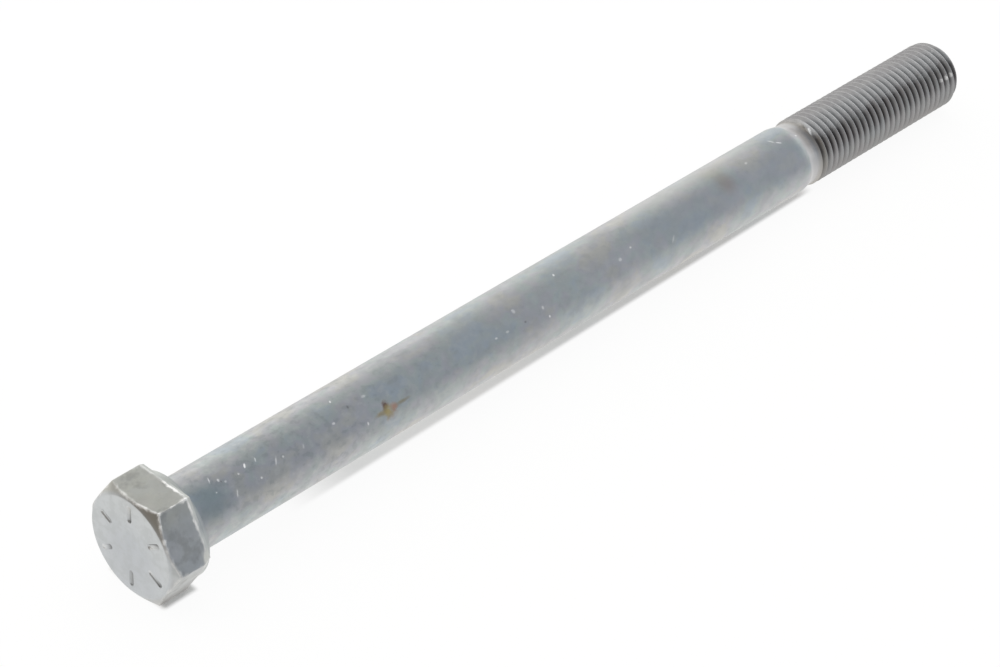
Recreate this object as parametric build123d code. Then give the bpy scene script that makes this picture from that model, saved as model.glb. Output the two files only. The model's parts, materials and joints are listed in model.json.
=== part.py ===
"""Long hex head bolt, forged and roll threaded from one piece of steel.

From one end to the other it has a hex head with a coned top, a thin round
washer face that bears on the work, a fillet, a plain shank, a shoulder, a
short neck of the slimmer blank that the thread was rolled on, the threaded
end and a bevelled point. The threaded end is a plain wall at the thread's
outside diameter. The bolt lies as it comes to rest, on the rear edge of one
flat of its head and on the last turn of its thread.
"""

import os
from math import atan2, cos, degrees, pi, radians, sin, tan

from build123d import *

# Hex head, in millimetres and degrees
hex_sides = 6
across_flats = 15.87
head_height = 6.95
top_circle_diameter = 15.1
top_cone_angle = 25.0
rear_bevel_length = 0.6
rear_bevel_depth = 0.2

# Washer face under the head, and the fillet where the shank leaves it
washer_face_diameter = 15.7
washer_face_thickness = 0.62
under_head_radius = 0.7

# Plain shank, measured from the washer face to the start of the shoulder
shank_diameter = 10.95
shank_length = 125.0

# Shoulder and neck between the shank and the thread
shoulder_length = 1.4
neck_diameter = 10.2
neck_length = 1.4

# Threaded end, with the length of the whole bolt under its head
thread_diameter = 10.88
run_in_length = 1.0
bolt_length = 163.4
point_diameter = 9.2
point_length = 1.2

# The bolt's axis is X, with zero on the washer face and the point at the far end.
washer_radius = washer_face_diameter / 2
shank_radius = shank_diameter / 2
neck_radius = neck_diameter / 2
thread_radius = thread_diameter / 2
point_radius = point_diameter / 2
flat_distance = across_flats / 2
neck_start = shank_length + shoulder_length
neck_end = neck_start + neck_length
thread_start = neck_end + run_in_length
thread_end = bolt_length - point_length
bevel_start = -washer_face_thickness - rear_bevel_length


def make_head():
    """The hex prism, one flat down, bevelled behind its flats and coned in front of its corners."""
    hexagon = Plane.YZ.offset(-head_height) * RegularPolygon(flat_distance, hex_sides, major_radius=False)
    prism = extrude(hexagon, head_height - washer_face_thickness)
    rear = prism.faces().sort_by(Axis.X)[-1]
    prism = chamfer(rear.edges(), rear_bevel_depth, rear_bevel_length, reference=rear)

    top_radius = top_circle_diameter / 2
    corner_distance = flat_distance / cos(pi / hex_sides)
    cone_length = corner_distance * tan(radians(top_cone_angle))
    cone_outline = Polyline(
        (-head_height, 0),
        (-head_height, top_radius),
        (-head_height + cone_length, top_radius + corner_distance),
        (0, top_radius + corner_distance),
        (0, 0),
        close=True,
    )
    cone = revolve(make_face(Plane.XZ * cone_outline), Axis.X)
    return prism & cone


def make_shaft():
    """Everything round: washer face, fillet, shank, shoulder, neck, thread and point."""
    fillet_foot = (0, shank_radius + under_head_radius)
    fillet_end = (under_head_radius, shank_radius)
    fillet_reach = under_head_radius * sin(pi / 4)
    fillet_middle = (under_head_radius - fillet_reach, shank_radius + under_head_radius - fillet_reach)
    washer_outline = Polyline(
        (0, 0),
        (-washer_face_thickness, 0),
        (-washer_face_thickness, washer_radius),
        (0, washer_radius),
        fillet_foot,
    )
    fillet_outline = ThreePointArc(fillet_foot, fillet_middle, fillet_end)
    shank_outline = Polyline(
        fillet_end,
        (shank_length, shank_radius),
        (neck_start, neck_radius),
        (neck_end, neck_radius),
        (thread_start, thread_radius),
        (thread_end, thread_radius),
        (bolt_length, point_radius),
        (bolt_length, 0),
        (0, 0),
    )
    outline = washer_outline + fillet_outline + shank_outline
    return revolve(make_face(Plane.XZ * outline), Axis.X)


def lie_at_rest(bolt):
    """Tips the axis down until the head and the thread's last turn touch one level floor."""
    head_contacts = [(bevel_start, flat_distance), (0, washer_radius)]
    tilt = max(atan2(reach - thread_radius, thread_end - along) for along, reach in head_contacts)
    tipped = Rot(Y=degrees(tilt)) * bolt
    box = tipped.bounding_box()
    return Pos(-box.center().X, -box.center().Y, -box.min.Z) * tipped


bolt = lie_at_rest(make_head() + make_shaft())
bolt.label = "bolt"

os.makedirs("parts", exist_ok=True)
export_step(bolt, "parts/bolt.step")
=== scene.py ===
# %% [markdown]
# # A long hex bolt, lying on a pale table
#
# The imported solid of this bolt already has its true sizes: hex head, washer face, plain shank, neck and
# point. It has no thread, no marks on its head and no wear. This lesson builds the finished bolt over
# that solid, as one closed mesh in the same place, then plates it with scuffed zinc, lights it and sets
# the camera. The solid is loaded first, and its box is kept so that the finished bolt's box can be set
# beside it at the end.

# %% Load the imported solid
import json
from math import atan2, cos, degrees, hypot, pi, radians, sin, tan

import bmesh
import bpy
from mathutils import Matrix, Quaternion, Vector


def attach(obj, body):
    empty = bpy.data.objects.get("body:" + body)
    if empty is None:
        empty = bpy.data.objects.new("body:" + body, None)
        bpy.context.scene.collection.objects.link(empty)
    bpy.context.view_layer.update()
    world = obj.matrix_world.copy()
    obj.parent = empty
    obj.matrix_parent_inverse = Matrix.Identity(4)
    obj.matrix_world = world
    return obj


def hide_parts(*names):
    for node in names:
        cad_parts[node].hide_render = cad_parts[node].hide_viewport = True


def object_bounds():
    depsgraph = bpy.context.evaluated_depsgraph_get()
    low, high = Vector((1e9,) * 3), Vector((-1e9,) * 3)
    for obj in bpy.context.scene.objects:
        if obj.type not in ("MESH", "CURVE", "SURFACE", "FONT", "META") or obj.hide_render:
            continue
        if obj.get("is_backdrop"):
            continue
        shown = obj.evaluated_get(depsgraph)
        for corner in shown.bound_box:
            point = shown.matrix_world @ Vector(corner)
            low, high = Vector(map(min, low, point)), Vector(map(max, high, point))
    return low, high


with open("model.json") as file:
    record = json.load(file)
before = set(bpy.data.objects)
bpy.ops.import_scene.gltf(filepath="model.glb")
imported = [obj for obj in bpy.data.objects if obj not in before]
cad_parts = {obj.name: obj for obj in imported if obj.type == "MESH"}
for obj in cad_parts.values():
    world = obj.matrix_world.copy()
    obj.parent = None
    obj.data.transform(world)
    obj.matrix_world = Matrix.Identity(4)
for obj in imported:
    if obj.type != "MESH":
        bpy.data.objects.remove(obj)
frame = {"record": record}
cad_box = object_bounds()
print("the solid's box, in mm:", [round(1000 * (high - low), 2) for low, high in zip(*cad_box)])

# %% [markdown]
# ## Where the bolt lies
#
# The bolt isn't level: it rests on its head and on the end of its thread, so its axis dips a little.
# Modelling on a tipped axis would be awkward, so each piece is made along a level X axis, in
# millimetres, with zero on the washer face, and one matrix puts it all in place at the end. The
# record's mounts give that axis and that face.

# %% Read the axis from the record
mounts = {mount["name"]: mount for mount in frame["record"]["mounts"]}
axis = Vector(mounts["grip_shank"]["axis"]).normalized()
on_axis = Vector(mounts["grip_shank"]["pos_m"])
on_face = Vector(mounts["bearing_face"]["pos_m"])
face_centre = on_axis + axis * (on_face - on_axis).dot(axis)
tilt = atan2(-axis.z, axis.x)
millimetre = 0.001
at_rest = Matrix.Translation(face_centre) @ Matrix.Rotation(tilt, 4, "Y") @ Matrix.Scale(millimetre, 4)
print("the axis dips", round(degrees(tilt), 3), "degrees from the washer face at", face_centre)

# %% [markdown]
# ## The thread
#
# A thread is a groove wound round a cylinder. The spin operator can also move its outline along the
# axis at each step, which makes it a screw: one pitch of the groove's outline is wound once round, and
# since each turn ends where the next begins, copies moved on by one pitch make the rest. Merging
# doubles closes the seams later. The groove has 60 degree flanks, a round bottom and softly rounded
# crests, as rolled threads have. Both ends run too far, for now.

# %% Wind the groove
pitch = 1.27
crest_radius = 10.88 / 2
groove_depth = 0.70
groove_phase = 134.07
shaft_columns = 96
first_turn = -8
turns = 32
# half of the groove's outline: share of the pitch from its middle, share of its depth
half_groove = [(0, 1), (0.085, 0.985), (0.15, 0.89), (0.40, 0.125), (0.445, 0.015), (0.5, 0)]


def corners(parts):
    """The vertices among some parts of a mesh."""
    return [part for part in parts if isinstance(part, bmesh.types.BMVert)]


metal = bmesh.new()
outline = [(-share, depth) for share, depth in reversed(half_groove[1:])] + half_groove
first_middle = groove_phase + first_turn * pitch
points = []
for share, depth in outline:
    points.append(metal.verts.new((first_middle + share * pitch, 0, crest_radius - depth * groove_depth)))
lines = [metal.edges.new(pair) for pair in zip(points, points[1:])]
bmesh.ops.spin(
    metal,
    geom=points + lines,
    axis=(1, 0, 0),
    cent=(0, 0, 0),
    angle=2 * pi,
    steps=shaft_columns,
    dvec=(pitch / shaft_columns, 0, 0),
    use_merge=False,
)
one_turn = metal.verts[:] + metal.edges[:] + metal.faces[:]
for turn in range(1, turns):
    copied = bmesh.ops.duplicate(metal, geom=one_turn)["geom"]
    bmesh.ops.translate(metal, verts=corners(copied), vec=(turn * pitch, 0, 0))
reach = [vert.co.x for vert in metal.verts]
print("wound", len(reach), "vertices, from", round(min(reach), 2), "to", round(max(reach), 2), "mm")

# %% [markdown]
# ## Where the thread starts and ends
#
# Rolled threads fade in. The first groove begins at one spot on the side, so the metal before it stays
# at the neck's size, and the first crest rises in a short ramp beside it. At the far end, a cone takes
# the crests off the last turns. Both are changes of distance from the axis, so each wound vertex gets a
# new one.

# %% Fade the start and point the end
neck_radius = 10.2 / 2
first_groove = 129.06
start_angle = radians(19.0)
ramp_share = 0.10
rise_length = 0.5
rise_lead = 0.75
thread_end = 162.2
bolt_length = 163.4
point_radius = 9.2 / 2
core_radius = point_radius - 0.3
merge_distance = 0.004


def round_axis(vert):
    """A vertex's distance from the axis, and its angle round it, from straight up towards -Y."""
    return hypot(vert.co.y, vert.co.z), atan2(-vert.co.y, vert.co.z)


def ease(value):
    """A smooth step from 0 to 1."""
    value = min(max(value, 0), 1)
    return value * value * (3 - 2 * value)


def shape_thread(vert):
    """Gives a wound vertex its distance from the axis, between the neck and the point."""
    out, angle = round_axis(vert)
    along = vert.co.x
    from_groove = (along - groove_phase) / pitch - angle / (2 * pi)
    groove_at = along - (from_groove - round(from_groove)) * pitch
    depth = (crest_radius - out) * ease((groove_at - first_groove) / (ramp_share * pitch) + 0.5)
    lead = (angle - start_angle) / (2 * pi) % 1
    if lead > 1 - ramp_share:
        lead = (1 - ramp_share) * (1 - ease((lead - 1 + ramp_share) / ramp_share))
    crest_start = first_groove + pitch * (lead - 0.5) - rise_lead * rise_length
    crest = neck_radius + (crest_radius - neck_radius) * ease((along - crest_start) / rise_length)
    cone = crest_radius - (crest_radius - point_radius) * (along - thread_end) / (bolt_length - thread_end)
    wanted = min(crest - depth, max(cone, core_radius))
    vert.co.y *= wanted / out
    vert.co.z *= wanted / out


for vert in metal.verts:
    shape_thread(vert)
bmesh.ops.remove_doubles(metal, verts=metal.verts, dist=merge_distance)
print("shaped", len(metal.verts), "vertices, after merging the turns")

# %% [markdown]
# ## Trim the thread
#
# Two cuts square to the axis trim the wound strip, so that it becomes a tube with one open rim at each
# end. The rim at the point is extruded a little way and scaled in, which rounds it, and a face closes
# the end.

# %% Cut both ends and close the point
thread_cut = 127.9
end_rounding = 0.12
end_shrink = 0.955
snap_distance = 0.0001
row_margin = 0.01


def at_place(edge, along):
    """Whether an edge lies at one place along the axis."""
    return all(abs(vert.co.x - along) < row_margin for vert in edge.verts)


def open_rims(along):
    """The open edges that lie at one place along the axis."""
    return [edge for edge in metal.edges if edge.is_boundary and at_place(edge, along)]


for cut, side in ((thread_cut, "clear_inner"), (bolt_length - end_rounding, "clear_outer")):
    everything = metal.verts[:] + metal.edges[:] + metal.faces[:]
    bmesh.ops.bisect_plane(
        metal, geom=everything, dist=snap_distance, plane_co=(cut, 0, 0), plane_no=(1, 0, 0), **{side: True}
    )
grown = bmesh.ops.extrude_edge_only(metal, edges=open_rims(bolt_length - end_rounding))["geom"]
end_rim = corners(grown)
bmesh.ops.scale(metal, verts=end_rim, vec=(1, end_shrink, end_shrink))
bmesh.ops.translate(metal, verts=end_rim, vec=(end_rounding, 0, 0))
bmesh.ops.contextual_create(metal, geom=open_rims(bolt_length))
print("thread:", len(metal.faces), "faces, with", len(open_rims(thread_cut)), "edges round its open rim")

# %% [markdown]
# ## Fillet, shank, shoulder and neck
#
# Everything between the washer face and the thread is round, so one outline is spun once about the
# axis. The fillet is a quarter circle, the shoulder eases off to the slimmer blank that the thread was
# rolled on, and rows along the shank keep its faces short. Bridging its far rim to the thread's joins
# the two.

# %% Spin the shank
under_head_radius = 0.7
shank_radius = 10.95 / 2
shoulder_start = 125.3
shoulder_length = 2.3
soft_share = 0.2
neck_end = thread_cut - 0.25
fillet_steps = 6
shank_rows = (2, 5, *range(10, 121, 5), 123, 124.6)
shoulder_steps = 10


def spin_outline(outline, columns):
    """Joins points (along, out) with edges above the axis and spins them once round it."""
    points = [metal.verts.new((along, 0, out)) for along, out in outline]
    lines = [metal.edges.new(pair) for pair in zip(points, points[1:])]
    bmesh.ops.spin(
        metal,
        geom=points + lines,
        axis=(1, 0, 0),
        cent=(0, 0, 0),
        angle=2 * pi,
        steps=columns,
        use_merge=True,
    )


shaft = []
for step in range(fillet_steps + 1):
    turn = pi / 2 * step / fillet_steps
    fillet_height = under_head_radius * (1 - sin(turn))
    shaft.append((under_head_radius * (1 - cos(turn)), shank_radius + fillet_height))
shaft += [(along, shank_radius) for along in shank_rows]
for step in range(shoulder_steps + 1):
    share = step / shoulder_steps
    eased = share + soft_share * (ease(share) - share)
    shoulder_radius = shank_radius + (neck_radius - shank_radius) * eased
    shaft.append((shoulder_start + shoulder_length * share, shoulder_radius))
shaft.append((neck_end, neck_radius))
spin_outline(shaft, shaft_columns)
bmesh.ops.bridge_loops(metal, edges=open_rims(neck_end) + open_rims(thread_cut))
print("with the shank:", len(metal.verts), "vertices")

# %% [markdown]
# ## The head's blank
#
# A hex head is forged: a round blank is upset, then pressed to six flats. It could be cut from a prism
# and a cone with Boolean modifiers, but those leave long ragged faces. Here it is made as the forge
# does it. An outline is spun round the axis, with many columns because fine marks come later, and then
# the outer rows are pressed in to the flats. The outline runs from the middle of the top, down the
# side, to the rim of the washer face.

# %% Spin the blank
hex_sides = 6
flat_distance = 15.86 / 2
corner_distance = flat_distance / cos(pi / hex_sides)
head_height = 6.95
top_radius = 15.1 / 2
cone_slope = tan(radians(31.0))
rear_bevel_depth = 0.2
rear_bevel_length = 0.6
washer_radius = 15.7 / 2
washer_thickness = 0.62
rim_rounding = 0.14
rim_middle = 0.04
bevel_start = -washer_thickness - rear_bevel_length
head_columns = 384
fine_rows = [3.4 + 0.1 * row for row in range(38)]
side_rows = (-4.6, -2.8)
fine_merge = 0.001

cone_foot = -head_height + (corner_distance - top_radius) * cone_slope
rear_rim = corner_distance * (1 - rear_bevel_depth / flat_distance)
top_rows = [0, 1.1, 2.2, 3.0, *fine_rows, 7.35, top_radius]
blank = [(-head_height, out) for out in top_rows]
blank += [(along, corner_distance) for along in (cone_foot, *side_rows, bevel_start)]
blank += [(-washer_thickness, rear_rim), (-washer_thickness, washer_radius), (-rim_rounding, washer_radius)]
blank += [(-rim_middle, washer_radius - rim_middle), (0, washer_radius - rim_rounding)]
spin_outline(blank, head_columns)
head_corners = [vert for vert in metal.verts if vert.co.x < row_margin]
bmesh.ops.remove_doubles(metal, verts=head_corners, dist=fine_merge)
print("with the blank:", len(metal.verts), "vertices,", len(metal.faces), "faces")

# %% [markdown]
# ## The six flats and the cone
#
# Pressing moves each outer vertex straight in towards the axis, until it lies on the nearest flat. The
# first outer row also slides along the axis, because the coned top cuts a flat nearer to the washer at
# its corners than at its middle. That gives the curved line under the cone that every hex head has. Use
# has left its marks: one corner is knocked blunt, and another is chipped at its rear end.

# %% Press the flats
knocked_corner = radians(-90)
knocked_reach = radians(24)
knocked_depth = 0.45
knocked_slope = 0.6
chipped_corner = radians(90)
chipped_reach = radians(15)
chipped_length = 0.9
chipped_share = 0.04
side_from = washer_radius + 0.2


def press_flat(vert):
    """Moves a vertex of the blank's side in to the nearest flat."""
    out, angle = round_axis(vert)
    from_middle = (angle + pi / hex_sides) % (2 * pi / hex_sides) - pi / hex_sides
    knocked = ease(1 - abs(angle - knocked_corner) / knocked_reach)
    pressed = min(flat_distance / cos(from_middle), corner_distance - knocked_depth * knocked)
    chipped = ease(1 - abs(angle - chipped_corner) / chipped_reach)
    if vert.co.x < cone_foot + row_margin:
        vert.co.x = -head_height + (pressed - top_radius) * cone_slope * (1 + knocked_slope * knocked)
    share = pressed / corner_distance
    if vert.co.x > bevel_start + row_margin:
        share = max(share * (1 - chipped_share * chipped), (washer_radius + row_margin) / out)
    elif vert.co.x > bevel_start - row_margin:
        vert.co.x -= chipped_length * chipped
    vert.co.y *= share
    vert.co.z *= share


for vert in metal.verts:
    if round_axis(vert)[0] > side_from:
        press_flat(vert)
print("across flats:", round(2 * max(vert.co.z for vert in metal.verts), 3), "mm")

# %% [markdown]
# ## Edges worn by wrenches
#
# No edge of a used bolt is a knife edge. The bevel operator rounds every edge of the head that turns by
# more than 15 degrees. The plating shows bright rubbed metal there later. Then the washer face between
# head and shank is bridged.

# %% Round the worn edges
edge_rounding = 0.11
sharp_turn = radians(15)
head_end = -washer_thickness - 0.05


def in_head(edge):
    """Whether an edge lies in front of the washer face."""
    return max(vert.co.x for vert in edge.verts) < head_end


sharp = [edge for edge in metal.edges if in_head(edge) and edge.calc_face_angle(0) > sharp_turn]
rounded = bmesh.ops.bevel(
    metal,
    geom=sharp,
    offset=edge_rounding,
    affect="EDGES",
    segments=3,
    profile=0.5,
    material=-1,
    clamp_overlap=True,
)
bmesh.ops.bridge_loops(metal, edges=open_rims(0))
print("rounded", len(sharp), "edges with", len(rounded["faces"]), "faces")

# %% [markdown]
# ## Six dashes for the grade
#
# Six short strokes round the top say how strong the steel is. They are struck by the forging die, so
# they are dents with soft walls. The fine rows of the blank are there for this: each vertex near a
# stroke sinks by an amount that depends only on its distance from the stroke's edge. Some strokes came
# out fainter than others. Grime and painted shade gather at one end or along one wall of each, the
# other wall gets a painted highlight, and an attribute keeps that for the plating: above zero for grime
# and painted shade, below zero for the painted highlight.

# %% Strike the dashes
stamped = metal.verts.layers.float.new("stamped")
dash_half_width = 0.46
wall_width = 0.28
grime_and_shade_reach = 0.12
full_depth = 0.24
# each dash: angle in degrees, distance of its middle from the axis, half its length, depth,
# then the grime and painted shade all over it, at its outer end and at its right wall; below zero is a
# painted highlight
dashes = [
    (-2.0, 5.40, 0.98, full_depth, 0.30, -0.30, 0.90),
    (57.5, 5.38, 0.88, full_depth, 0.10, 0.60, -0.90),
    (116.8, 5.45, 1.02, 0.16, 0.02, 0.60, 0.25),
    (178.5, 5.42, 0.88, 0.18, 0.55, 0.00, -0.40),
    (-122.8, 5.50, 0.72, 0.12, 0.15, -0.60, 0.00),
    (-64.5, 5.25, 0.76, 0.17, 0.25, -0.20, 0.50),
]


def strike(out, angle):
    """How deep the die pushes the metal at this place, and its grime and painted shade, which below zero is
    a painted highlight.
    """
    pressed = []
    for turn, middle, half_length, depth, grime_and_shade, grime_and_shade_outward, grime_and_shade_right in dashes:
        along_dash = out * cos(angle - radians(turn)) - middle
        across_dash = out * sin(angle - radians(turn))
        outside = hypot(max(abs(along_dash) - half_length, 0), across_dash) - dash_half_width
        grime_and_shade += along_dash / half_length * grime_and_shade_outward + across_dash / dash_half_width * grime_and_shade_right
        pressed.append((depth * ease(-outside / wall_width), grime_and_shade * ease(-outside / grime_and_shade_reach)))
    return max(pressed)


face_limit = top_radius - 0.3
face_margin = 0.001
sunk_to = 0.0
for vert in metal.verts:
    out, angle = round_axis(vert)
    if vert.co.x < -head_height + face_margin and out < face_limit:
        sunk, grime_and_shade = strike(out, angle)
        vert.co.x += sunk
        vert[stamped] = grime_and_shade
        sunk_to = max(sunk_to, sunk)
print("deepest dash:", round(sunk_to, 3), "mm")

# %% [markdown]
# ## One closed piece, in place
#
# Spinning can turn faces inside out, so the normals are recalculated now that nothing is open. Edges
# that turn sharply stay sharp in the shading, and a Weighted Normal modifier lets the large flat faces
# keep flat normals next to the small rounded ones. The matrix from the start puts the bolt where the
# solid is.

# %% Make the bolt's object
crease = radians(38)
bmesh.ops.recalc_face_normals(metal, faces=metal.faces)
loose = [edge for edge in metal.edges if not edge.is_manifold]
volume = metal.calc_volume()
for face in metal.faces:
    face.smooth = True
for edge in metal.edges:
    edge.smooth = edge.calc_face_angle(0) < crease
bmesh.ops.transform(metal, matrix=at_rest, verts=metal.verts)

bolt_mesh = bpy.data.meshes.new("bolt_finished")
metal.to_mesh(bolt_mesh)
metal.free()
bolt = bpy.data.objects.new("bolt_finished", bolt_mesh)
bpy.context.scene.collection.objects.link(bolt)
flatten = bolt.modifiers.new("flat faces stay flat", "WEIGHTED_NORMAL")
flatten.keep_sharp = True
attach(bolt, "root")
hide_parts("bolt")
triangles = sum(len(face.vertices) - 2 for face in bolt_mesh.polygons)
print("bolt:", triangles, "triangles,", len(loose), "open edges,", round(volume, 1), "cubic mm")

# %% [markdown]
# ## Writing shader sums as sums
#
# A plating that changes over the surface needs many small sums, and drawing each as a Math node by hand
# is slow to read. This class wraps one socket. Adding or multiplying wrapped sockets adds the Math
# nodes, and one method adds any other node: its settings first, then the values or links of its
# sockets.

# %% Wrap a socket
class Signal:
    """A socket of a node tree. Sums with it add Math nodes to that tree."""

    def __init__(self, tree, socket=None):
        self.tree = tree
        self.socket = socket

    def node(self, kind, settings=None, inputs=None, output=0):
        """Adds one node, with its settings, then its sockets, and wraps one of its outputs."""
        made = self.tree.nodes.new(kind)
        for name, value in (settings or {}).items():
            if name == "stops":
                ramp = made.color_ramp.elements
                while len(ramp) < len(value):
                    ramp.new(1.0)
                for stop, (position, colour) in zip(ramp, value):
                    stop.position = position
                    stop.color = colour
            else:
                setattr(made, name, value)
        for name, value in (inputs or {}).items():
            if isinstance(value, Signal):
                self.tree.links.new(value.socket, made.inputs[name])
            else:
                made.inputs[name].default_value = value
        return Signal(self.tree, made.outputs[output])

    def sum(self, operation, first, second=0.0):
        return self.node("ShaderNodeMath", {"operation": operation}, {0: first, 1: second})

    def __add__(self, other):
        return self.sum("ADD", self, other)

    def __sub__(self, other):
        return self.sum("SUBTRACT", self, other)

    def __mul__(self, other):
        return self.sum("MULTIPLY", self, other)

    def __truediv__(self, other):
        return self.sum("DIVIDE", self, other)

    def __pow__(self, other):
        return self.sum("POWER", self, other)

    def __rsub__(self, other):
        return self.sum("SUBTRACT", other, self)

    def __neg__(self):
        return self.sum("MULTIPLY", self, -1.0)

    __radd__ = __add__
    __rmul__ = __mul__

    def step(self, low, high, first=0.0, last=1.0):
        """A smooth step from first, at low, to last, at high."""
        inputs = {"Value": self, "From Min": low, "From Max": high, "To Min": first, "To Max": last}
        return self.node("ShaderNodeMapRange", {"interpolation_type": "SMOOTHSTEP"}, inputs)

    def band(self, rise, full, fade, end):
        """0 up to rise, 1 from full to fade and 0 again from end, with smooth steps between them."""
        return self.step(rise, full) * self.step(fade, end, 1.0, 0.0)

    def split(self, names):
        """The named parts of a vector."""
        return [self.node("ShaderNodeSeparateXYZ", inputs={0: self}, output=name) for name in names]

    def mix(self, first, second):
        """A colour from first to second, by this signal."""
        return self.node("ShaderNodeMix", {"data_type": "RGBA"}, {0: self, 6: first, 7: second}, 2)


print("sums on sockets are ready")

# %% [markdown]
# ## Places on the bolt
#
# Every mark on the plating has a place on the bolt, so the material first undoes the bolt's tilt. A
# Mapping node of type Texture takes the Object coordinates back to millimetres along the level axis,
# and from there come the distance along the bolt, the distance out from its axis and the angle round
# it.

# %% Measure places in the material
zinc = bpy.data.materials.new("scuffed zinc plate")
zinc.use_nodes = True
plate = Signal(zinc.node_tree)
object_place = plate.node("ShaderNodeTexCoord", output="Object")
place = plate.node(
    "ShaderNodeMapping",
    {"vector_type": "TEXTURE"},
    {"Vector": object_place, "Location": face_centre, "Rotation": (0, tilt, 0), "Scale": (millimetre,) * 3},
)
along, side, up = place.split("XYZ")
out = (side * side + up * up) ** 0.5
angle = plate.sum("ARCTAN2", -side, up)


def noise(scale, detail=2.0, stretch=(1, 1, 1), seed=0.0):
    """Soft noise with features about 1 / scale millimetres wide."""
    stretched = {"Vector": place, "Scale": stretch, "Location": (seed, seed, seed)}
    moved = plate.node("ShaderNodeMapping", inputs=stretched)
    return plate.node("ShaderNodeTexNoise", inputs={"Vector": moved, "Scale": scale, "Detail": detail})


on_head = along.step(-0.3, 0.1, 1.0, 0.0)
on_thread = along.step(128.6, 129.6)
on_shank = 1.0 - on_head.sum("MAXIMUM", on_head, on_thread)
print("the material measures along, out and angle")

# %% [markdown]
# ## Zinc plate
#
# Bright zinc is a satin metal with a faint tint that drifts between blue, green, lilac and straw,
# because its clear passivated film is only a few light waves thick. A colour ramp turns slow noise into
# that tint. A finer noise dulls it in clouds, and a still finer one scuffs it, most of all near the
# head.

# %% Tint the plate
film_stops = [
    (0.40, (0.485, 0.540, 0.585, 1)),
    (0.47, (0.520, 0.570, 0.562, 1)),
    (0.54, (0.545, 0.550, 0.585, 1)),
    (0.61, (0.575, 0.575, 0.552, 1)),
]
dull_zinc = (0.455, 0.470, 0.480, 1)
pale_scuff = (0.680, 0.690, 0.680, 1)
dark_scuff = (0.330, 0.365, 0.370, 1)

patches = noise(0.17, 3.0, (0.6, 1, 1)) * 0.68 + noise(0.55, 2.0, (0.7, 1, 1), 11.0) * 0.32
film = patches.node("ShaderNodeValToRGB", {"stops": film_stops}, {0: patches})
cloud = noise(0.45, 4.0, seed=7.0)
colour = (cloud.step(0.35, 0.70) * 0.42).mix(film, dull_zinc)
scuffs = noise(1.0, 4.0, (0.8, 1, 1), 41.0)
scuffed = along.step(20.0, 60.0, 0.34, 0.16)
colour = (scuffs.step(0.52, 0.66) * scuffed).mix(colour, pale_scuff)
colour = (scuffs.step(0.34, 0.46, 1.0, 0.0) * scuffed).mix(colour, dark_scuff)
print("tinted the plate, with", len(film_stops), "tints")

# %% [markdown]
# ## The head's plate
#
# Hands and wrenches have rubbed the film off the head, so it is greyer than the shank. The flat that faces
# up gets a warm painted reflection. The top has a pale tint of its own, bluer in its middle and paler
# towards its rim and its upper side as a painted reflection, with scuffs.

# %% Rub the film off the head
bright_rub = (0.590, 0.600, 0.600, 1)
dull_rub = (0.515, 0.525, 0.525, 1)
warm_painted_reflection = (0.590, 0.565, 0.465, 1)
top_middle = (0.540, 0.568, 0.605, 1)
top_rim_painted_sheen = (0.620, 0.648, 0.668, 1)
top_scuff = (0.470, 0.495, 0.500, 1)

rubbed = cloud.step(0.30, 0.70).mix(bright_rub, dull_rub)
# a warm painted reflection on the flat that faces up
rubbed = (up.step(4.5, 7.0) * 0.5).mix(rubbed, warm_painted_reflection)
colour = (on_head * 0.7).mix(colour, rubbed)
on_top = along.step(-6.9, -6.6, 1.0, 0.0)
# the top is paler towards its rim and its upper side, a painted reflection
top_tint = (out + up * 0.6).step(0.0, 9.0).mix(top_middle, top_rim_painted_sheen)
colour = (on_top * 0.85).mix(colour, top_tint)
colour = (on_top * scuffs.step(0.40, 0.64) * 0.36).mix(colour, top_scuff)
print("rubbed the film off the head")

# %% [markdown]
# ## Shoulder and neck
#
# The shoulder gets a painted highlight, with painted shade where it faces the camera, and the neck fades
# from there to brown grime where the thread begins, with painted shade on the side that faces the camera.
# Straight borders would look painted, so the clouds push each border to and fro.

# %% Paint the shoulder's light and the neck's grime and shade
shoulder_painted_shade = (0.500, 0.495, 0.510, 1)
shoulder_painted_highlight = (0.720, 0.720, 0.735, 1)
neck_grime_and_shade = (0.40, 0.385, 0.375, 1)
cool_thread = (0.44, 0.445, 0.45, 1)
warm_thread = (0.49, 0.475, 0.48, 1)
run_out_grime = (0.33, 0.30, 0.25, 1)

wander = (cloud - 0.5) * 0.5
before_thread = 1.0 - on_thread
on_shoulder = (along + wander * 2.0).step(125.8, 126.3) * before_thread
turned_away = plate.sum("ABSOLUTE", angle + wander - radians(26))
# a painted highlight on the shoulder, and painted shade where it faces the camera
shoulder_painted_light = turned_away.step(radians(12), radians(40)).mix(shoulder_painted_shade, shoulder_painted_highlight)
colour = (on_shoulder * 0.85).mix(colour, shoulder_painted_light)
# brown grime all round the neck, stronger as painted shade on the side that faces the camera
on_neck = along.step(126.2, 127.2) * before_thread * turned_away.step(radians(10), radians(32), 1.0, 0.30)
colour = (on_neck * 0.8).mix(colour, neck_grime_and_shade)
colour = (on_thread * 0.8).mix(colour, cloud.step(0.35, 0.65).mix(cool_thread, warm_thread))
at_run_out = along.band(127.7, 128.8, 129.4, 130.6)
colour = (at_run_out * 0.5).mix(colour, run_out_grime)
print("rubbed the shoulder and the neck")

# %% [markdown]
# ## Grime, dust and painted shade in the thread
#
# Oil and dirt stay in the thread's grooves, which are where the distance from the axis is small, and
# painted shade darkens the grooves further on the side that faces the camera and on the far side. The
# underside has painted shade too. On the upper side pale dust has settled over them and fills the grooves
# with a film, painted a little lighter than the crests to cancel their shade, so that only the sides of the
# thread show them dark, and there the dust's grooves are painted dark as shade.

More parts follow.
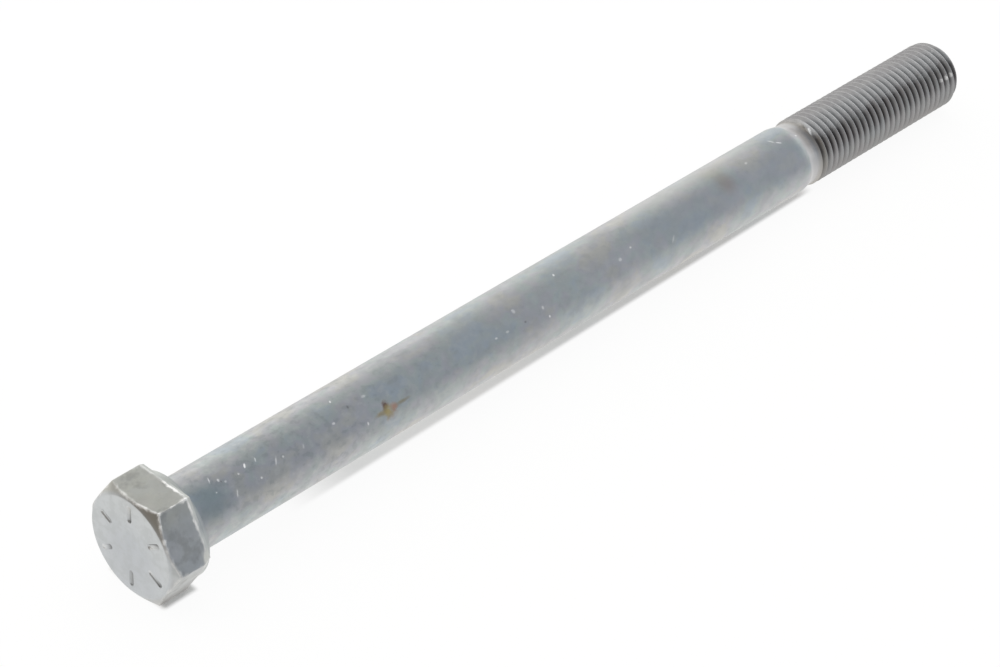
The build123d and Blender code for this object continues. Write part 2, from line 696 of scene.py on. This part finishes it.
# %% Dust the thread and paint its shade
groove_grime_and_shade = (0.080, 0.070, 0.068, 1)
underside_painted_shade = (0.23, 0.225, 0.225, 1)
top_crest_dust = ((0.385, 0.381, 0.380, 1), (0.335, 0.327, 0.333, 1))
top_groove_dust_painted_lighter = ((0.450, 0.445, 0.442, 1), (0.390, 0.381, 0.387, 1))
side_crest_dust = (0.490, 0.495, 0.500, 1)
side_groove_painted_shade = (0.165, 0.170, 0.174, 1)

on_turns = on_thread * along.step(163.15, 163.30, 1.0, 0.0)
groove = on_turns * out.step(4.80, 5.38, 1.0, 0.0)
front_side = (angle + wander).step(radians(18), radians(44))
front_side = front_side * angle.step(radians(64), radians(90), 1.0, 0.0)
back_side = angle.band(radians(-105), radians(-85), radians(-75), radians(-55))
# grime in the grooves, with painted shade added on the side that faces the camera and on the far side
in_groove = groove * (0.30 + (front_side + back_side) * (0.42 + cloud * 0.4))
colour = in_groove.mix(colour, groove_grime_and_shade)
# painted shade on the thread's underside
underneath = (up / out).step(-0.35, 0.30, 0.5, 0.0)
colour = (on_turns * underneath).mix(colour, underside_painted_shade)
dust = on_turns * (angle + wander).band(radians(-82), radians(-55), radians(20), radians(46))
from_top = (angle + wander * 0.6).step(radians(-14), radians(12))
settled = noise(0.8, 3.0, (0.6, 1, 1), 51.0).step(0.36, 0.64)
crest_dust = from_top.mix(settled.mix(*top_crest_dust), side_crest_dust)
# the dust's grooves are painted lighter than its crests on top, to cancel their shade, and dark as painted
# shade on the side
groove_dust_and_painted_light = from_top.mix(settled.mix(*top_groove_dust_painted_lighter), side_groove_painted_shade)
colour = (dust * (0.70 + cloud * 0.30)).mix(colour, groove.mix(crest_dust, groove_dust_and_painted_light))
print("dusted the thread")

# %% [markdown]
# ## Marks at a place
#
# Rust, scratches and smears each have one place. Unrolled, the bolt's side is a sheet with the distance
# along the axis one way and the arc round it the other way. On that sheet a mark is an ellipse: a
# Mapping node of type Texture turns it into a circle of radius one, and the length of the result says
# how far from its middle a place is.

# %% Find marks on the unrolled side
shank_sheet = plate.node("ShaderNodeCombineXYZ", inputs={"X": along, "Y": angle * shank_radius})
ragged = noise(1.3, 4.0, seed=3.0)


def from_mark(along_at, degrees_at, half_long, half_wide, lean=0.0):
    """How far a place is from a mark: 0 at its middle, 1 on its edge. Sizes are in mm, lean in degrees."""
    middle = (along_at, radians(degrees_at) * shank_radius, 0)
    sizes = {"Location": middle, "Rotation": (0, 0, radians(lean)), "Scale": (half_long, half_wide, 1)}
    on_mark = plate.node("ShaderNodeMapping", {"vector_type": "TEXTURE"}, {"Vector": shank_sheet, **sizes})
    return plate.node("ShaderNodeVectorMath", {"operation": "LENGTH"}, {0: on_mark}, "Value")


def ragged_mark(*sizes):
    """A mark with a torn edge, from 1 inside to 0 outside."""
    return (from_mark(*sizes) + (ragged - 0.5) * 1.2).step(0.30, 1.20, 1.0, 0.0)


print("marks have places on a sheet", round(2 * pi * shank_radius, 2), "mm wide")

# %% [markdown]
# ## Patches in the film and painted light on the shank
#
# The film isn't even along the shank: before the shoulder it is darker and bluer. Next to the head the
# shank has a dark teal painted reflection, and near the shoulder its upper side has a painted highlight.
# These are marks too, only large ones whose edges fade slowly.

# %% Tint patches of the shank
teal_painted_reflection = (0.325, 0.400, 0.425, 1)
upper_painted_highlight = (0.665, 0.665, 0.660, 1)
blue_film = (0.365, 0.405, 0.455, 1)

# a dark teal painted reflection on the shank next to the head
by_the_head = from_mark(3.8, 48, 4.6, 4.4).step(0.15, 1.0, 0.65, 0.0)
colour = (by_the_head * on_shank).mix(colour, teal_painted_reflection)
# a painted highlight along the shank's upper side
upper_side = from_mark(104, -22, 24.0, 3.2).step(0.3, 1.0, 0.45, 0.0)
colour = upper_side.mix(colour, upper_painted_highlight)
for patch in (from_mark(104, 36, 24.0, 4.2), from_mark(121.5, 42, 7.5, 5.0)):
    colour = (patch.step(0.3, 1.0, 0.40, 0.0) * (1.0 - on_shoulder)).mix(colour, blue_film)
print("tinted patches of the shank")

# %% [markdown]
# ## Rust
#
# One spot of rust has broken through on the shank: a golden core with a dark red blister, short arms
# and a thin tail along the bolt. Each of these is one mark, painted over the one before it. Further
# along lies a faint brown smear in a yellow haze, which has no edge at all.

# %% Paint the rust
haze = from_mark(108.5, -4, 3.5, 2.6).step(0.1, 1.0, 0.26, 0.0)
smear = from_mark(108.8, 25, 2.6, 2.9).step(0.1, 1.0, 0.40, 0.0)
colour = haze.mix(colour, (0.47, 0.45, 0.32, 1))
colour = smear.mix(colour, (0.37, 0.28, 0.22, 1))

tail = (from_mark(38.2, 59.5, 2.1, 0.36) + (ragged - 0.5) * 0.7).step(0.05, 1.10, 0.75, 0.0)
fringe = ragged_mark(35.9, 66, 1.3, 1.25) * 0.45
arms = ragged_mark(34.4, 60.5, 1.5, 0.50) * 0.80
lobe = ragged_mark(36.6, 60.5, 0.8, 0.75, 20) * 0.88
blister = ragged_mark(35.3, 52.5, 0.60, 0.90, 10) * 0.95
core = ragged_mark(35.5, 62.5, 1.00, 1.05) * 0.90
layers = [
    (tail, (0.20, 0.17, 0.10, 1)),
    (fringe, (0.45, 0.33, 0.27, 1)),
    (arms, (0.26, 0.21, 0.12, 1)),
    (lobe, (0.36, 0.22, 0.17, 1)),
    (blister, (0.11, 0.065, 0.05, 1)),
    (core, (0.37, 0.31, 0.145, 1)),
]
rusty = 0.0
for amount, rust_colour in layers:
    colour = amount.mix(colour, rust_colour)
    rusty = amount.sum("MAXIMUM", amount, rusty)
print("painted", len(layers), "layers of rust")

# %% [markdown]
# ## Nicks and painted glints
#
# Knocks have left short pale strokes, most of them near the head. The strokes on the head's upper corner,
# where the thread starts and on its last three crests are painted glints on worn metal. Each one is a
# small mark with a place, two half sizes, a lean and a strength.

# %% Knock nicks into the plate and paint glints
# each nick and painted glint: along and angle, half length along, half width round, lean in degrees,
# strength
nicks_and_glints = [
    # painted glints on worn metal at the head's upper corner, front and rear
    (-5.95, 30, 0.32, 0.20, 0, 0.95),
    (-6.15, 33.5, 0.16, 0.50, 26, 0.90),
    (-6.20, 25.5, 0.14, 0.45, -26, 0.65),
    (-1.30, 30, 0.40, 0.20, 0, 0.95),
    (5.4, 16, 0.14, 0.60, 20, 0.45),
    (6.5, 23, 0.24, 0.30, 0, 0.50),
    (5.2, 37, 0.20, 0.14, 0, 0.45),
    (7.3, 30, 0.22, 0.22, 0, 0.35),
    (9.6, 30, 0.20, 0.24, 0, 0.45),
    (11.1, 24.5, 0.15, 0.42, 30, 0.95),
    (13.0, 25, 0.12, 0.40, 25, 0.50),
    (8.0, 52, 0.16, 0.72, 22, 0.45),
    (12.4, 51, 0.24, 0.24, 0, 0.55),
    (15.6, 41, 0.18, 0.85, 32, 0.40),
    (16.9, 41, 0.22, 0.22, 0, 0.45),
    (20.5, 43, 0.16, 0.40, 20, 0.30),
    (26.5, 37, 0.34, 0.20, 0, 0.45),
    (28.4, 6, 0.16, 0.26, 25, 0.65),
    (31.6, 63, 0.16, 0.36, 0, 0.80),
    (33.0, 25, 0.50, 0.24, 0, 0.25),
    (57.3, 51, 0.34, 0.20, 0, 0.50),
    (59.6, 51, 0.45, 0.22, 0, 0.35),
    (62.3, 29, 0.40, 0.45, 0, 0.30),
    (67.1, 47, 0.26, 0.34, 0, 0.40),
    (67.7, 64, 0.20, 0.26, 0, 0.95),
    (72.2, 12, 0.24, 0.30, 15, 0.70),
    (83.7, 44, 0.42, 0.34, 0, 0.35),
    (86.5, 36, 0.24, 0.20, 0, 0.50),
    (94.5, 59, 0.20, 0.75, 40, 0.30),
    (114.6, 13, 0.34, 0.24, 0, 0.35),
    (121.7, 2, 0.16, 0.75, -24, 0.45),
    (122.5, 11, 0.18, 0.60, -48, 0.55),
    (126.2, 15, 0.24, 0.22, 0, 0.60),
    # a painted glint where the first crest rises
    (129.15, 21, 0.26, 0.85, 10, 1.0),
    # painted glints on the last three crests
    (158.8, 61, 0.34, 0.42, 0, 0.80),
    (160.1, 61, 0.36, 0.55, 0, 1.0),
    (161.3, 61, 0.34, 0.55, 0, 1.0),
    (158.3, 22, 0.30, 0.60, 25, 0.60),
    (160.8, 9, 0.30, 0.70, 40, 0.70),
]
bare_zinc_and_glint = (0.91, 0.91, 0.90, 1)
nick_and_glint = 0.0
for *sizes, strength in nicks_and_glints:
    one = (from_mark(*sizes) + (ragged - 0.5) * 0.7).step(0.40, 1.05, strength, 0.0)
    nick_and_glint = one.sum("MAXIMUM", one, nick_and_glint)
nick_and_glint = nick_and_glint * (1.0 - groove)
pits = [(6.75, 27, 0.15, 0.22), (29.9, 27, 0.24, 0.34), (63.2, 52, 0.30, 0.22), (129.3, 32, 0.30, 0.40)]
pit_shade = (0.16, 0.15, 0.15, 1)
pit = 0.0
for sizes in pits:
    one = from_mark(*sizes).step(0.2, 1.05, 0.5, 0.0)
    pit = one.sum("MAXIMUM", one, pit)
colour = pit.mix(colour, pit_shade)
colour = nick_and_glint.mix(colour, bare_zinc_and_glint)
print("made", len(nicks_and_glints), "nicks and", len(pits), "pits")

# %% [markdown]
# ## Rubbed edges of the head
#
# Wrenches rub the plate off the edges of the flats, most of all at the corner that faces up, and least
# at the middle of a corner. The distances from the cone, the nearest flat and the nearest corner come
# from the same sums that pressed the head. Where two of them are near zero there is an edge.

# %% Rub the head's edges
half_turn = pi / hex_sides
from_middle = plate.node("ShaderNodeMath", {"operation": "WRAP"}, {0: angle, 1: half_turn, 2: -half_turn})
to_flat = flat_distance - out * plate.sum("COSINE", from_middle)
to_cone = plate.sum("ABSOLUTE", along + head_height - (out - top_radius) * cone_slope)
mid_corner = along.step(-5.7, -4.7) * along.step(-3.2, -2.2, 0.16, 0.0)
to_corner = (half_turn - plate.sum("ABSOLUTE", from_middle)) * out + to_flat * 4.0 + mid_corner
to_rear = plate.sum("ABSOLUTE", along - bevel_start) + to_flat
to_edge = plate.sum("MINIMUM", plate.sum("MINIMUM", to_corner, to_rear), to_flat + to_cone)
from_hand = plate.sum("ABSOLUTE", angle - radians(28))
handled = from_hand.step(radians(12), radians(50), 1.0, 0.45) * along.step(-0.9, -0.7, 1.0, 0.0)
handled = handled * noise(0.55, 2.0, seed=17.0).step(0.36, 0.58, 0.25, 1.0)
worn = (to_edge + (ragged - 0.5) * 0.8).step(0.02, 0.36, 1.0, 0.0) * handled
print("found the worn edges of", hex_sides, "flats")

# %% [markdown]
# ## Grime and painted light on the head
#
# Grime stays in the dashes, where one wall also gets painted shade and the other a painted highlight, on
# the cone by the upper corner and in smudges on the flats. The strip behind the flats gets a painted
# highlight, and the chip at one corner is paler. The rubbed edges come last, over all of it.

# %% Smudge the head
smudge_shade = (0.30, 0.30, 0.29, 1)
rear_painted_highlight = (0.640, 0.675, 0.665, 1)
chip_tint = (0.76, 0.77, 0.74, 1)
cone_grime = (0.30, 0.275, 0.24, 1)
dash_grime_and_shade = (0.12, 0.12, 0.12, 1)
dash_painted_highlight = (0.86, 0.87, 0.87, 1)
worn_metal = (0.92, 0.91, 0.89, 1)

on_flat = on_head * to_flat.step(0.02, 0.10, 1.0, 0.0)
smudge = noise(0.5, 3.0, seed=13.0).step(0.48, 0.66)
colour = (on_flat * smudge * 0.42).mix(colour, smudge_shade)
# a painted highlight on the strip behind the flats
on_rear = on_head * along.step(-1.35, -1.10)
colour = (on_rear * 0.6).mix(colour, rear_painted_highlight)
chip = plate.sum("ABSOLUTE", angle - chipped_corner).step(radians(4), radians(13), 0.85, 0.0)
colour = (chip * along.band(-2.2, -1.7, -0.75, -0.6)).mix(colour, chip_tint)
on_cone = on_head * to_cone.step(0.02, 0.08, 1.0, 0.0) * out.step(7.5, 7.7)
colour = (on_cone * from_hand.step(radians(15), radians(45), 0.5, 0.0)).mix(colour, cone_grime)
# grime and painted shade in the dashes, and a painted highlight on their other wall
in_dash = plate.node("ShaderNodeAttribute", {"attribute_name": "stamped"}, output="Fac")
colour = (in_dash * (0.45 + ragged * 0.8)).mix(colour, dash_grime_and_shade)
colour = (-in_dash * 0.7).mix(colour, dash_painted_highlight)
colour = (worn * 0.9).mix(colour, worn_metal)
print("smudged the head")

# %% [markdown]
# ## Gloss and surface
#
# The plate's roughness drifts with the clouds, and rust, dust and grime are dull. Bumps finish it: slow
# waves that make reflections waver as they do on drawn wire, and a fine grain.

# %% Finish the plate
fresh = nick_and_glint.sum("MAXIMUM", nick_and_glint, worn)
rough = 0.32 + cloud * 0.14 + on_neck * 0.08 + on_thread * 0.06 + groove * 0.15 + dust * 0.2 + fresh * 0.15
waves = noise(0.13, 1.0, (0.8, 1, 1), 21.0) * 0.22 + noise(0.42, 1.0, (0.8, 1, 1), 31.0) * 0.03
grain = noise(2.2, 3.0, (0.5, 1, 1), 5.0)
height = waves * on_shank + grain * 0.008
bump = plate.node("ShaderNodeBump", inputs={"Strength": 0.55, "Distance": millimetre, "Height": height})
dull = rusty.sum("MAXIMUM", rusty * 0.9, dust * 0.75)
shader = zinc.node_tree.nodes["Principled BSDF"]
for name, value in (
    ("Base Color", colour),
    ("Roughness", rough + rusty * 0.45),
    ("Metallic", (1.0 - dull) * (1.0 - fresh * 0.72)),
    ("Normal", bump),
):
    zinc.node_tree.links.new(value.socket, shader.inputs[name])
bolt_mesh.materials.append(zinc)
print("plate:", len(zinc.node_tree.nodes), "nodes")

# %% [markdown]
# ## White paper
#
# The floor is plain white paper. A camera burns it out to white and keeps only a faint shadow, so for
# the camera most of its light is a flat white glow, and the rest is ordinary lit paper, which carries
# the shadow. Close under the head and the shank the glow gives way to the lit paper, so a narrow
# contact shadow stays. The metal mirrors the paper too. There the glow is white close to the bolt and
# behind it. It fades in front of the bolt and past its head, as paper does outside a lamp's pool.
# Places on the floor are in metres.

# %% Mix the paper
pool_bright = (1.0, 0.985, 0.96, 1)
pool_front = (0.70, 0.70, 0.70, 1)
pool_far_front = (0.52, 0.53, 0.55, 1)
pool_past_head = (0.38, 0.35, 0.32, 1)
pool_painted_shadow_under_head = (0.30, 0.28, 0.26, 1)
paper_white = (0.90, 0.885, 0.855, 1)
glow_for_camera = 0.94

paper = bpy.data.materials.new("white paper")
paper.use_nodes = True
sheet = Signal(paper.node_tree)
floor_x, floor_y = sheet.node("ShaderNodeTexCoord", output="Object").split("XY")
to_camera = sheet.node("ShaderNodeLightPath", output="Is Camera Ray")
mirrored = sheet.node("ShaderNodeLightPath", output="Is Glossy Ray")
through = sheet.node("ShaderNodeLightPath", output="Is Transmission Ray")
from_axis = sheet.sum("ABSOLUTE", floor_y)
under_head = floor_x.band(-0.0848, -0.0836, -0.0790, -0.0780) * from_axis.step(0.0050, 0.0060, 1.0, 0.0)
under_shank = floor_x.band(-0.060, -0.045, 0.0485, 0.0525) * from_axis.step(0.0025, 0.0035, 1.0, 0.0)
shaded = sheet.sum("MAXIMUM", under_head * 0.90, under_shank * floor_x.step(-0.05, 0.03, 0.54, 0.76))
pool = (-floor_y).step(0.0, 0.024).mix(pool_bright, pool_front)
pool = (-floor_y).step(0.03, 0.25).mix(pool, pool_far_front)
pool = (-floor_x).step(0.095, 0.20).mix(pool, pool_past_head)
# a painted shadow under the head, in the glow that the metal mirrors
pool = (under_head * 0.6).mix(pool, pool_painted_shadow_under_head)
glow = mirrored.mix((1, 1, 1, 1), pool)
lit = sheet.node("ShaderNodeBsdfDiffuse", inputs={"Color": paper_white})
white = sheet.node("ShaderNodeEmission", inputs={"Color": glow, "Strength": 1.0})
glow_share = to_camera * (1.0 - shaded) * glow_for_camera + mirrored + through
surface = sheet.node("ShaderNodeMixShader", inputs={0: glow_share, 1: lit, 2: white})
paper.node_tree.links.new(surface.socket, paper.node_tree.nodes["Material Output"].inputs["Surface"])
print("paper:", len(paper.node_tree.nodes), "nodes")

# %% [markdown]
# ## The table
#
# One large square is floor enough. It reaches past the edges of the picture, so no corner of it is
# seen, and the frame is told that it is part of the stage and not of the bolt.

# %% Lay the floor
half_floor = 4.0
floor_metal = bmesh.new()
bmesh.ops.create_grid(floor_metal, x_segments=1, y_segments=1, size=half_floor)
floor_mesh = bpy.data.meshes.new("table")
floor_metal.to_mesh(floor_mesh)
floor_metal.free()
floor_mesh.materials.append(paper)
table = bpy.data.objects.new("table", floor_mesh)
bpy.context.scene.collection.objects.link(table)
table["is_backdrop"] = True
print("laid a floor", 2 * half_floor, "m wide")

# %% [markdown]
# ## The room
#
# Metal shows its room. Here the room is bright behind the bolt and beyond its point, dim and bluish
# over the camera, and dim and warm behind the head, which gives the shank its dark band between two
# pale edges. The world's colour is built from the direction of each ray.

# %% Colour the room
# from the camera's side to the far side: share of the way, colour
room_stops = [
    (0.06, (0.430, 0.455, 0.495, 1)),
    (0.14, (0.405, 0.435, 0.475, 1)),
    (0.32, (0.370, 0.400, 0.440, 1)),
    (0.44, (0.365, 0.390, 0.425, 1)),
    (0.54, (0.430, 0.445, 0.465, 1)),
    (0.64, (0.545, 0.555, 0.560, 1)),
    (0.76, (0.680, 0.680, 0.670, 1)),
    (0.83, (0.800, 0.795, 0.775, 1)),
    (0.92, (1.200, 1.190, 1.160, 1)),
]
behind_head = (0.36, 0.33, 0.30, 1)
beyond_point = (1.15, 1.13, 1.10, 1)

world = bpy.data.worlds.new("studio")
bpy.context.scene.world = world
world.use_nodes = True
sky = Signal(world.node_tree)
toward_x, toward_y = sky.node("ShaderNodeTexCoord", output="Generated").split("XY")
room = sky.node("ShaderNodeValToRGB", {"stops": room_stops}, {0: toward_y * 0.5 + 0.5})
room = ((-toward_x).step(0.25, 0.85) * 0.9).mix(room, behind_head)
room = toward_x.step(0.66, 0.86).mix(room, beyond_point)
backdrop = world.node_tree.nodes["Background"]
world.node_tree.links.new(room.socket, backdrop.inputs["Color"])
backdrop.inputs["Strength"].default_value = 1.0
print("coloured the room, with", len(room_stops), "stops")

# %% [markdown]
# ## The lamp
#
# One wide soft lamp overhead lights the paper. It would show in the metal as a hard square, so it is
# hidden from mirrored rays, and the room alone gives the metal its reflections.

# %% Hang the lamp
lamp_place = Vector((0.0, 0.25, 0.85))
lamp = bpy.data.lights.new("soft lamp", "AREA")
lamp.size = 2.0
lamp.energy = 13.5
holder = bpy.data.objects.new("soft lamp", lamp)
holder.location = lamp_place
holder.rotation_euler = (-lamp_place).to_track_quat("-Z", "Y").to_euler()
holder.visible_glossy = False
bpy.context.scene.collection.objects.link(holder)
print("hung", holder.name, "with", lamp.energy, "W")

# %% [markdown]
# ## The camera
#
# The view is from beside the head, a little less than half a right angle up, with a long lens. The
# camera also leans by a few degrees, as a hand-held one does. Tracking aims it, and one more turn about
# its own axis gives the lean.

# %% Set the camera
camera_place = Vector((-0.29655, -0.25110, 0.30424))
aim = Vector((-0.014494, 0.000782, 0.005))
lean = radians(3.44)
camera = bpy.data.objects.new("camera", bpy.data.cameras.new("camera"))
camera.data.lens = 121.09
camera.data.sensor_width = 36.0
camera.data.clip_start = 0.01
camera.location = camera_place
camera.rotation_mode = "QUATERNION"
camera.rotation_quaternion = (aim - camera_place).to_track_quat("-Z", "Y") @ Quaternion((0, 0, 1), lean)
bpy.context.scene.collection.objects.link(camera)
bpy.context.scene.camera = camera
bpy.context.scene.view_settings.view_transform = "Standard"
print("the camera stands", round((aim - camera_place).length, 3), "m away")

# %% [markdown]
# ## The finished size
#
# The finished bolt must not be larger than the solid. Both boxes are gathered side by side, and the
# finished one is printed.

# %% Gather both boxes and print the finished one
finished_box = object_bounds()
sizes = {"cad": [list(corner) for corner in cad_box], "visual": [list(corner) for corner in finished_box]}
print("the finished box, in mm:", [round(1000 * (high - low), 2) for low, high in zip(*finished_box)])
